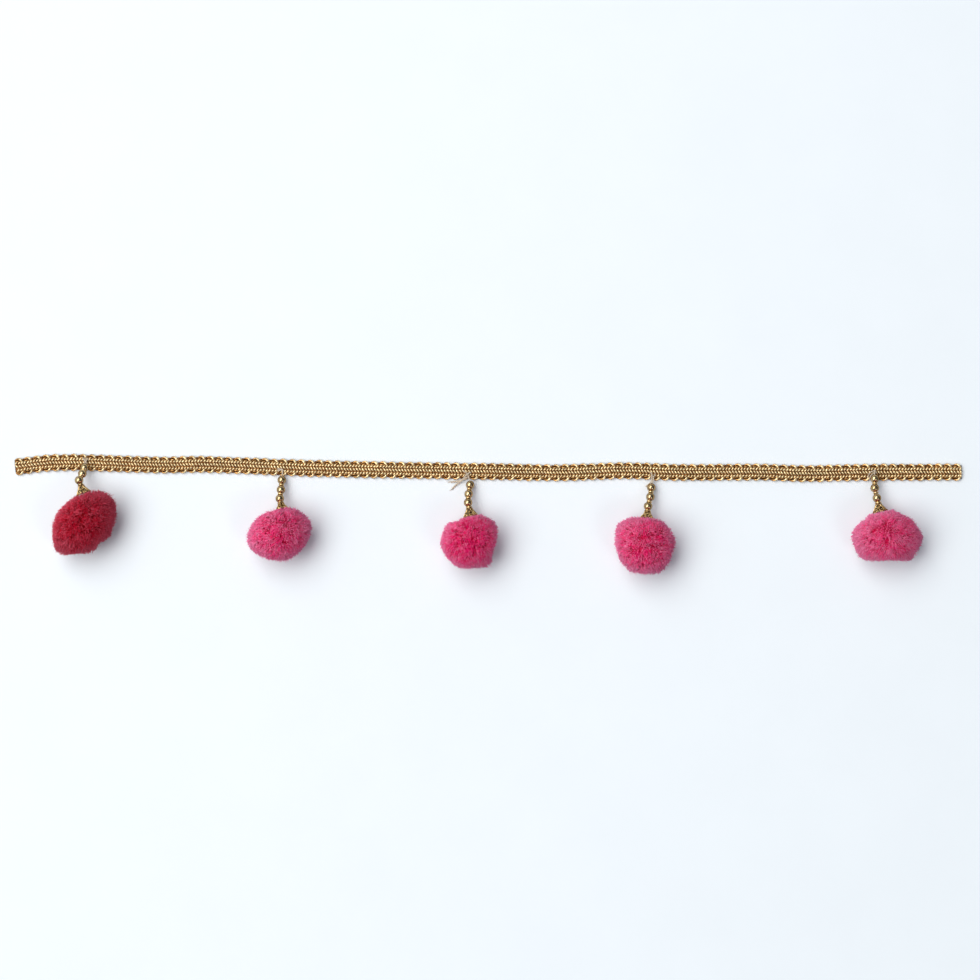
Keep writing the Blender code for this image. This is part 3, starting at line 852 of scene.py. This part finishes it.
def cap(number, places, metal, painted_shade):
    """A filigree bell: six looped petals with scrolls and grains over an inner bell painted near black as
    shade.
    """
    rng = np.random.default_rng(CAP_SEED + number)
    shape = Shape()
    share = np.linspace(0.0, BELL_REACH, BELL_BANDS)
    outer = np.stack([cap_radius(share) - BELL_INSET, -share * CAP_LENGTH], axis=-1)
    inner = outer - (BELL_WALL, 0.0)
    profile = np.concatenate([outer[::-1], [(BORE_RADIUS, 0.0)], inner[1:] - (0, BELL_CROWN)])
    points, faces = turned(profile, CAP_STEPS)
    # The inner bell takes the second material, its painted shade.
    shape.add(points, faces, slot=1)
    petals = np.arange(PETALS)[:, None] * TAU / PETALS
    loop = np.arange(CAP_STEPS)[None] * TAU / CAP_STEPS
    aside = PETAL_ANGLE * np.sin(loop) * (0.5 + 0.5 * np.sin(loop / 2) ** 2)
    lines = on_cap(petals + aside, PETAL_MIDDLE - PETAL_HALF * np.cos(loop), PETAL_SINK)
    shape.add(*sweep(lines, PETAL_WIRE, PETAL_SIDES, up=unit(lines * LEVEL), closed=True))
    turns = np.linspace(0, 1, SCROLL_POINTS)
    curl = SCROLL_TURNS * TAU * turns
    size = SCROLL_RADIUS * (1 - SCROLL_TAPER * turns)
    for hand in (1, -1):
        for middle, offset, scale in SCROLLS:
            around = np.cos(curl) * size * scale / cap_radius(middle)
            down = np.sin(curl) * size * scale / CAP_LENGTH
            turn = petals + hand * (math.radians(offset) + around[None])
            lines = on_cap(turn, middle + down, SCROLL_SINK)
            shape.add(*sweep(lines, SCROLL_WIRE, SCROLL_SIDES, up=unit(lines * LEVEL)))
    grain = icosphere(GRAIN_DETAIL)
    for count, offset, at, size in CAP_GRAINS:
        turn = (np.arange(count) + offset) * TAU / count
        shape.add(*balls(on_cap(turn, at, GRAIN_SINK), size, grain))
    for ring, radius, drop in CAP_RINGS:
        points, faces = turned(ring_profile(ring, radius, CAP_RING_SIDES), CAP_STEPS)
        shape.add(points - (0, 0, drop), faces)
    aim = facing(places["cap_top"], -places["into"], rng.uniform(0, TAU))
    shape.points = [placed(part, aim) for part in shape.points]
    return shape.build(f"filigree_cap_{number + 1}", (metal, painted_shade), sharp=CAP_SHARP)


def add_two_ply(shape, line, cord, start=0.0):
    """Adds two plies that turn round a line of even points."""
    radius, pitch, ply, _ = cord
    tangents = unit(np.gradient(line, axis=0))
    first = unit(np.cross(tangents, PLY_UP))
    second = np.cross(tangents, first)
    angle = (start + run_lengths(line) * TAU / pitch)[None, :, None] + np.array((0.0, math.pi))[:, None, None]
    lines = line[None] + (first[None] * np.cos(angle) + second[None] * np.sin(angle)) * radius * PLY_SPREAD
    shape.add(*sweep(lines, ply, PLY_SIDES))


def thread(number, places, material):
    shape = Shape()
    route = [places["start"]]
    for bead, axis in zip(places["beads"], places["axes"]):
        route += [bead - axis * BEAD_RADIUS * STRAIGHT_SHARE, bead + axis * BEAD_RADIUS * STRAIGHT_SHARE]
    route += [places["cap_top"], places["rim"]]
    add_two_ply(shape, even_line([tuple(point) for point in route], THREAD[-1]), THREAD)
    return shape.build(f"hanging_thread_{number + 1}", (material,))


def stitches(material):
    """The stitches that hold the threads to the braid, and two ends that were left long."""
    rng = np.random.default_rng(STITCH_SEED)
    shape = Shape()
    for route in STITCHES:
        add_two_ply(shape, even_line(route, STITCH[-1]), STITCH, rng.uniform(0, TAU))
    for route in TAILS:
        line = even_line(route, TAIL[-1])
        add_two_ply(shape, line, TAIL, rng.uniform(0, TAU))
        heading = unit(line[-1] - line[-4])
        for _ in range(HAIRS):
            end = line[-1] + heading * rng.uniform(*HAIR_REACH) + rng.normal(0, HAIR_STRAY, 3) * LEVEL
            end[2] = rng.uniform(*HAIR_HEIGHT)
            bend = (line[-3] + end) / 2 + rng.normal(0, HAIR_BEND, 3) * LEVEL
            hair = even_line((line[-3], bend, end), HAIR_POINTS)[None]
            shape.add(*sweep(hair, np.linspace(*HAIR_RADII, HAIR_POINTS), HAIR_SIDES))
    return shape.build("sewing_stitches", (material,))


# ---- pompoms


def level_way(degrees):
    """The level direction at an angle from +X."""
    return math.cos(math.radians(degrees)), math.sin(math.radians(degrees)), 0.0


def nearness(directions, way, spread):
    """1 in the direction of the way, falling off round it over the spread."""
    away = np.arccos(np.clip(directions @ np.array(way), -1, 1))
    return np.exp(-((away / spread) ** 2))


def cut_level(radius, towards, distance):
    """The radius kept inside a plane at the distance. Towards is each direction's share of the way to it."""
    return np.where(towards > 0, np.minimum(radius, distance / np.maximum(towards, SMALLEST)), radius)


def outline_radius(directions, number, places):
    """How far the pompom reaches from its centre in each direction, in millimetres."""
    centre, (long, wide, high), turn, dent, dent_at = POMPOMS[number]
    turn = math.radians(turn)
    along = directions[:, 0] * math.cos(turn) + directions[:, 1] * math.sin(turn)
    side = directions[:, 1] * math.cos(turn) - directions[:, 0] * math.sin(turn)
    radius = 1 / np.sqrt((along / long) ** 2 + (side / wide) ** 2 + (directions[:, 2] / high) ** 2)
    radius = radius * (1 - dent * nearness(directions, level_way(dent_at), DENT_SPREAD))
    for lump_at, lump in LUMPS[number]:
        radius = radius + lump * nearness(directions, level_way(lump_at), LUMP_SPREAD)
    radius = radius * (1 + COLLAR_RISE * nearness(directions, places["middle"], COLLAR_SPREAD))
    radius = cut_level(radius, -directions[:, 2], centre[2])
    for axis, distance in places["planes"]:
        radius = cut_level(radius, directions @ np.array(axis), distance)
    return radius


def even_directions(count, number, rng, jitter):
    """Directions spread evenly over the pompom's egg shape, jittered by a share of their spacing."""
    index = np.arange(count) + 0.5
    height = 1 - 2 * index / count
    turn = index * math.pi * (3 - math.sqrt(5))
    flat = np.sqrt(1 - height**2)
    points = np.stack([flat * np.cos(turn), flat * np.sin(turn), height], axis=-1)
    points = unit(points + rng.normal(0, jitter * math.sqrt(TAU * 2 / count), points.shape))
    _, (long, wide, high), turn, _, _ = POMPOMS[number]
    points = points * (long, wide, high)
    turn = math.radians(turn)
    along, side = points[:, 0].copy(), points[:, 1].copy()
    points[:, 0] = along * math.cos(turn) - side * math.sin(turn)
    points[:, 1] = along * math.sin(turn) + side * math.cos(turn)
    return unit(points)


def off_the_cap(points, places):
    """Keeps points below the cap's rim, or well inside its bell, and above the floor."""
    outwards = -np.array(places["into"])
    offset = points - np.array(places["rim"])
    height = offset @ outwards
    lateral = np.linalg.norm(offset - height[..., None] * outwards, axis=-1)
    limit = np.where(lateral < BELL_MOUTH, INTO_BELL, UNDER_RIM)
    over = np.where((height > limit) & (lateral < CAP_SIDE), height - limit, 0.0)
    points = points - over[..., None] * outwards
    points[..., 2] = np.maximum(points[..., 2], LOWEST_YARN)
    return points


def cut_ends(shape, ways, tips, reach, radius, number, places, rng, tint, tone):
    """Adds one yarn end for each direction: its root lies inside the ball and its tip at the reach."""
    count = len(ways)
    tie = np.array(places["middle"]) * TIE_SHIFT
    ends = tips * (outline_radius(tips, number, places) * reach)[:, None]
    roots = tie + (ways * outline_radius(ways, number, places)[:, None] - tie) * FIBRE_STATIONS[0]
    lines = np.empty((count, len(FIBRE_STATIONS), 3))
    for station, share in enumerate(FIBRE_STATIONS):
        along = (share - FIBRE_STATIONS[0]) / (1 - FIBRE_STATIONS[0])
        lines[:, station] = roots + (ends - roots) * along
    lines = off_the_cap(lines + np.array(places["centre"]), places)
    across = unit(np.cross(ways, rng.normal(0, 1, ways.shape)))
    radii = np.array(radius)[None] * rng.uniform(*FIBRE_UNEVEN, (count, 1))
    points, faces = sweep(lines, radii, FIBRE_SIDES, up=across[:, None, :], pointed=True)
    # Painted shade: the depth value darkens a yarn end towards its root, deep in the ball.
    depth = np.repeat(FIBRE_DEPTHS, (FIBRE_SIDES, FIBRE_SIDES, 1))
    each = len(depth)
    depth = np.broadcast_to(depth, (count, each)) * rng.uniform(*DEPTH_UNEVEN, (count, 1))
    tone = np.repeat(np.broadcast_to(tone, count), each)
    shape.add(points, faces, depth=depth.ravel(), tint=np.repeat(tint, each), tone=tone)


def pompom(number, places, material):
    """A ball of cut yarn: a knobbly core, painted dark as shade, that closes the gaps, and the ends that lean
    together in tufts.
    """
    rng = np.random.default_rng(POMPOM_SEED + number)
    # Without a seed, noise_vector takes one from the clock.
    noise.seed_set(POMPOM_SEED + number)
    centre = np.array(places["centre"])
    shape = Shape()
    directions, faces = icosphere(CORE_DETAIL)
    knobs = np.array([noise.fractal(Vector(way) * KNOB_SCALE, *KNOB_FRACTAL) for way in directions])
    radius = outline_radius(directions, number, places) * (CORE_SHARE + KNOB_HEIGHT * knobs)
    depth = np.clip(CORE_DEPTH[0] + CORE_DEPTH[1] * knobs, 0.0, 1.0)
    shape.add(centre + directions * radius[:, None], [faces], depth=depth, tint=0.0, tone=CORE_TONE)

    ways = even_directions(FIBRES, number, rng, FIBRE_JITTER)
    tufts = even_directions(TUFTS, number, rng, TUFT_JITTER)
    nearest = np.argmax(ways @ tufts.T, axis=1)
    tuft_lean = rng.normal(0, TUFT_LEAN, (TUFTS, 3))
    pull = rng.uniform(*TUFT_PULL, FIBRES)[:, None]
    shift = Vector((COMB_SHIFT * number, 0, 0))
    comb = np.array([noise.noise_vector(Vector(way) * COMB_SCALE + shift) for way in ways])
    tips = ways + pull * (tufts[nearest] - ways) + tuft_lean[nearest] + COMB_LEAN * comb
    tips = unit(tips + rng.normal(0, TIP_STRAY, ways.shape))
    reach = rng.uniform(*TUFT_REACH, TUFTS)[nearest] * rng.triangular(*FIBRE_REACH, FIBRES)
    tint = rng.uniform(0, 1, TUFTS)[nearest] ** 2 * TUFT_TINT
    tint = tint + rng.uniform(0, 1, FIBRES) ** 2 * FIBRE_TINT + PALENESS[number]
    # Painted light: the yarn is painted paler round the side of the ball.
    tint = tint + RIM_PAINTED_LIGHT * (1 - np.abs(ways[:, 2])) ** 2
    tone = rng.uniform(0, 1, FIBRES) * FIBRE_TONE + rng.uniform(0, 1, TUFTS)[nearest] * TUFT_TONE
    cut_ends(shape, ways, tips, reach, FIBRE_RADIUS, number, places, rng, tint, tone)

    ways = unit(rng.normal(0, 1, (FUZZ, 3)))
    tips = unit(ways + rng.normal(0, FUZZ_LEAN, ways.shape))
    reach = FUZZ_REACH[0] + FUZZ_REACH[1] * rng.uniform(0, 1, FUZZ) ** 3
    # Painted light: stray hairs are painted pale and at full tone, for the light that shines through them.
    tint = rng.uniform(*FUZZ_TINT, FUZZ)
    cut_ends(shape, ways, tips, reach, FUZZ_RADIUS, number, places, rng, tint, 1.0)
    return shape.build(f"yarn_pompom_{number + 1}", (material,), origin=tuple(centre * MM))


# ---- studio


def studio():
    """The camera, the lamps and the sky, and the paper that the trim lies on."""
    camera = bpy.data.cameras.new("camera")
    camera.lens = LENS
    camera.sensor_width = SENSOR
    eye = bpy.data.objects.new("camera", camera)
    eye.location = (*VIEW_CENTRE, VIEW_HEIGHT + VIEW_WIDTH * LENS / SENSOR)
    bpy.context.scene.collection.objects.link(eye)
    bpy.context.scene.camera = eye
    for name, place, size, power, colour in LAMPS:
        lamp = bpy.data.lights.new(name, "AREA")
        lamp.energy = power
        lamp.shape = "RECTANGLE"
        lamp.size, lamp.size_y = size
        lamp.color = colour
        holder = bpy.data.objects.new(name, lamp)
        holder.location = place
        holder.rotation_euler = Vector(place).to_track_quat("Z", "Y").to_euler()
        bpy.context.scene.collection.objects.link(holder)
    world = bpy.data.worlds.new("world")
    world.use_nodes = True
    tree = world.node_tree
    place = tree.nodes.new("ShaderNodeTexCoord")
    dot = tree.nodes.new("ShaderNodeVectorMath")
    dot.operation = "DOT_PRODUCT"
    dot.inputs[1].default_value = Vector(SKY_WAY).normalized()
    tree.links.new(place.outputs["Generated"], dot.inputs[0])
    colour = add_ramp(tree, add_range(tree, dot.outputs["Value"], 0.0, 1.0, SKY_FROM), SKY_STOPS)
    tree.links.new(colour, tree.nodes["Background"].inputs["Color"])
    bpy.context.scene.world = world
    bpy.context.scene.view_settings.view_transform = "Standard"
    shape = Shape()
    corners = np.array([(-1, -1), (1, -1), (1, 1), (-1, 1)]) * PAPER_REACH
    shape.add(np.insert(corners, 2, -PAPER_DROP, axis=1), [np.array([[0, 1, 2, 3]])])
    floor = shape.build("floor", (paper("floor_paper"),))


def keep(piece, slot, *nodes):
    """Hands a piece to the frame and hides the nodes it replaces. The slot is not used."""
    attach(piece, "root")
    if nodes:
        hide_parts(*nodes)


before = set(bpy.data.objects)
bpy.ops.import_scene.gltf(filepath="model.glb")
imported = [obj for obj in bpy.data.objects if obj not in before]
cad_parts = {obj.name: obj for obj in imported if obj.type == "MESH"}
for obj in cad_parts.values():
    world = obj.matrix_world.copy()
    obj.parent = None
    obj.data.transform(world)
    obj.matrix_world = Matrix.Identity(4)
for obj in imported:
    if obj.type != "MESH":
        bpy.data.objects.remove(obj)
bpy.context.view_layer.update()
studio()
braid_gold = gold_yarn("braid_gold", *BRAID_GOLD)
under_gold = gold_yarn("braid_shade", *BRAID_SHADE)
bead_gold = plated_gold("bead_gold", *BEAD_PLATE)
ring_gold = plated_gold("ring_gold", *RING_PLATE)
cap_gold = plated_gold("cap_gold", *CAP_PLATE)
cap_painted_shade = plated_gold("cap_shade", *CAP_SHADE)
cream = cotton("cream_cotton", *COTTON)
crimson = pompom_yarn("crimson_yarn", *CRIMSON)
pink = pompom_yarn("raspberry_yarn", *RASPBERRY)
keep(braid(braid_gold, under_gold), "gold_braid", "braid")
keep(stitches(cream), "cream_thread")
for number in range(len(POMPOMS)):
    places = hanger(number)
    for index, piece in enumerate(beads(number, places, bead_gold)):
        keep(piece, "gold_bead", f"bead_{number + 1}_{index + 1}")
    keep(spacers(number, places, ring_gold), "gold_bead")
    keep(cap(number, places, cap_gold, cap_painted_shade), "gold_cap", f"cap_{number + 1}")
    keep(thread(number, places, cream), "cream_thread", f"thread_{number + 1}")
    slot, yarn = ("crimson_yarn", crimson) if number == 0 else ("pink_yarn", pink)
    keep(pompom(number, places, yarn), slot, f"pompom_{number + 1}")
